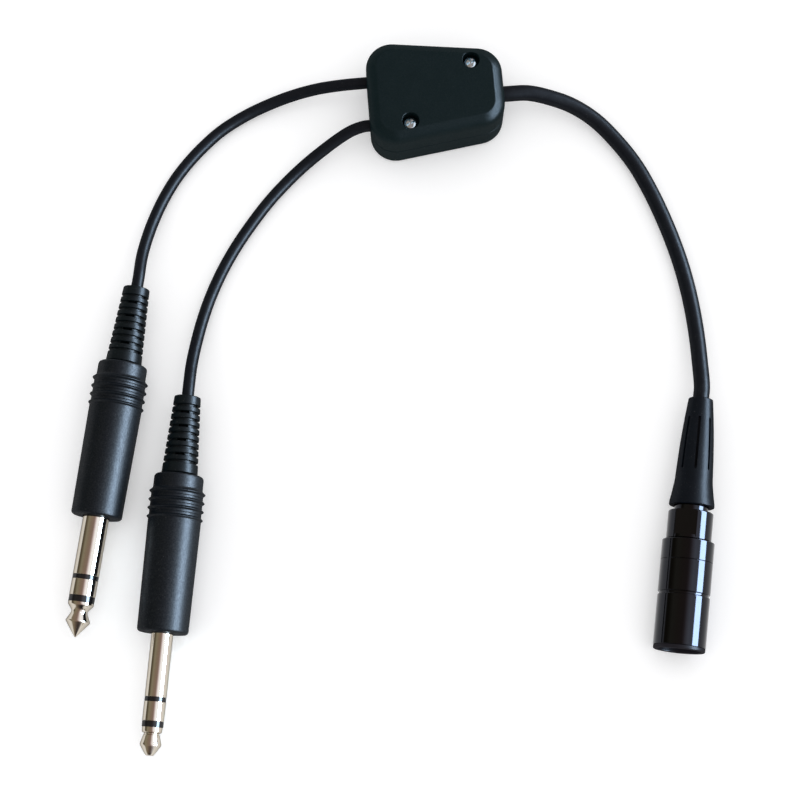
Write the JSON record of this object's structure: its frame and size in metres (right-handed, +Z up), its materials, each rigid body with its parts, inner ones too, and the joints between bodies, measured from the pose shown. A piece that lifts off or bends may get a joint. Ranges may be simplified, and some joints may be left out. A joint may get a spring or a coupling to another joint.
{
  "type": "headset adapter cable",
  "caption": "Black aviation headset adapter lead: a small screwed junction box, two corded jack plugs and a corded in-line multi-way socket.",
  "frame": {"origin": "centre of the junction box's flat underside, on the surface that the lead lies on", "axes": "+Z up out of the surface, +Y from the plug tips and the socket's mouth towards the junction box, +X from the plugs across to the socket"},
  "size_m": [0.1575, 0.1771, 0.016],
  "materials": {
    "case_plastic": "satin moulded black",
    "handle_plastic": "fine-grained moulded black",
    "relief_rubber": "matte black",
    "cord_jacket": "satin black",
    "boot_rubber": "matte black",
    "contact_nickel": "bright nickel plate",
    "screw_steel": "bright",
    "black_chrome": "polished black chrome",
    "liner_plastic": "dark satin",
    "band_plastic": "black",
    "core_plastic": "moulded dark grey",
    "insert_plastic": "light grey",
    "contact_gold": "gold plate",
    "turned_brass": "turned",
    "board": "green solder mask",
    "tie_nylon": "natural nylon",
    "lead_red": "insulated wire",
    "lead_white": "insulated wire",
    "lead_blue": "insulated wire",
    "lead_green": "insulated wire",
    "lead_yellow": "insulated wire",
    "lead_black": "insulated wire"
  },
  "bodies": {
    "lead": {"base_shell": "case_plastic", "splice_board": "board", "headphone_cable_tie": "tie_nylon", "headphone_lead_1": "lead_red", "headphone_lead_2": "lead_white", "headphone_lead_3": "lead_blue", "microphone_cable_tie": "tie_nylon", "microphone_lead_1": "lead_red", "microphone_lead_2": "lead_white", "microphone_lead_3": "lead_blue", "socket_cable_tie": "tie_nylon", "socket_lead_1": "lead_red", "socket_lead_2": "lead_white", "socket_lead_3": "lead_blue", "socket_lead_4": "lead_green", "socket_lead_5": "lead_yellow", "socket_lead_6": "lead_black", "headphone_plug_handle": "handle_plastic", "headphone_plug_strain_relief": "relief_rubber", "headphone_plug_tip_contact": "contact_nickel", "headphone_plug_front_insulator": "band_plastic", "headphone_plug_ring_contact": "contact_nickel", "headphone_plug_rear_insulator": "band_plastic", "headphone_plug_sleeve_contact": "contact_nickel", "headphone_plug_core": "core_plastic", "microphone_plug_handle": "handle_plastic", "microphone_plug_strain_relief": "relief_rubber", "microphone_plug_tip_contact": "contact_nickel", "microphone_plug_front_insulator": "band_plastic", "microphone_plug_ring_contact": "contact_nickel", "microphone_plug_rear_insulator": "band_plastic", "microphone_plug_sleeve_contact": "contact_nickel", "microphone_plug_core": "core_plastic", "socket_liner": "liner_plastic", "socket_shell": "black_chrome", "socket_rear_ring": "black_chrome", "socket_insulator": "insert_plastic", "socket_contact_1": "contact_gold", "socket_contact_2": "contact_gold", "socket_contact_3": "contact_gold", "socket_contact_4": "contact_gold", "socket_contact_5": "contact_gold", "socket_contact_6": "contact_gold", "insulator_retainer": "turned_brass", "cable_collet": "turned_brass", "headphone_cord": "cord_jacket", "microphone_cord": "cord_jacket", "socket_cord": "cord_jacket"},
    "lid": {"lid_shell": "case_plastic"},
    "lid_screw_1": {"lid_screw_1": "screw_steel"},
    "lid_screw_2": {"lid_screw_2": "screw_steel"},
    "bend_relief": {"bend_relief": "boot_rubber"},
    "collet_nut": {"collet_nut": "black_chrome"}
  },
  "joints": [
    {"name": "lid_lift", "type": "slide", "parent": "lead", "child": "lid", "axis": [0, 0, 1], "range_m": [0, 0.025]},
    {"name": "lid_screw_1_turn", "type": "hinge", "parent": "lid", "child": "lid_screw_1", "pos_m": [0.00884, 0.00733, 0.0141], "axis": [0, 0, 1], "continuous": true},
    {"name": "lid_screw_2_turn", "type": "hinge", "parent": "lid", "child": "lid_screw_2", "pos_m": [-0.00631, -0.00884, 0.0141], "axis": [0, 0, 1], "continuous": true},
    {"name": "bend_relief_slide", "type": "slide", "parent": "lead", "child": "bend_relief", "axis": [0.1172, 0.9931, 0], "range_m": [0, 0.002]},
    {"name": "collet_nut_turn", "type": "hinge", "parent": "bend_relief", "child": "collet_nut", "pos_m": [0.06142, -0.10991, 0.00635], "axis": [0.1172, 0.9931, 0], "range_deg": [0, 1440]}
  ],
  "couplings": [
    {"joint": "bend_relief_slide", "follows": "collet_nut_turn", "m_per_rad": 0.000079577}
  ]
}
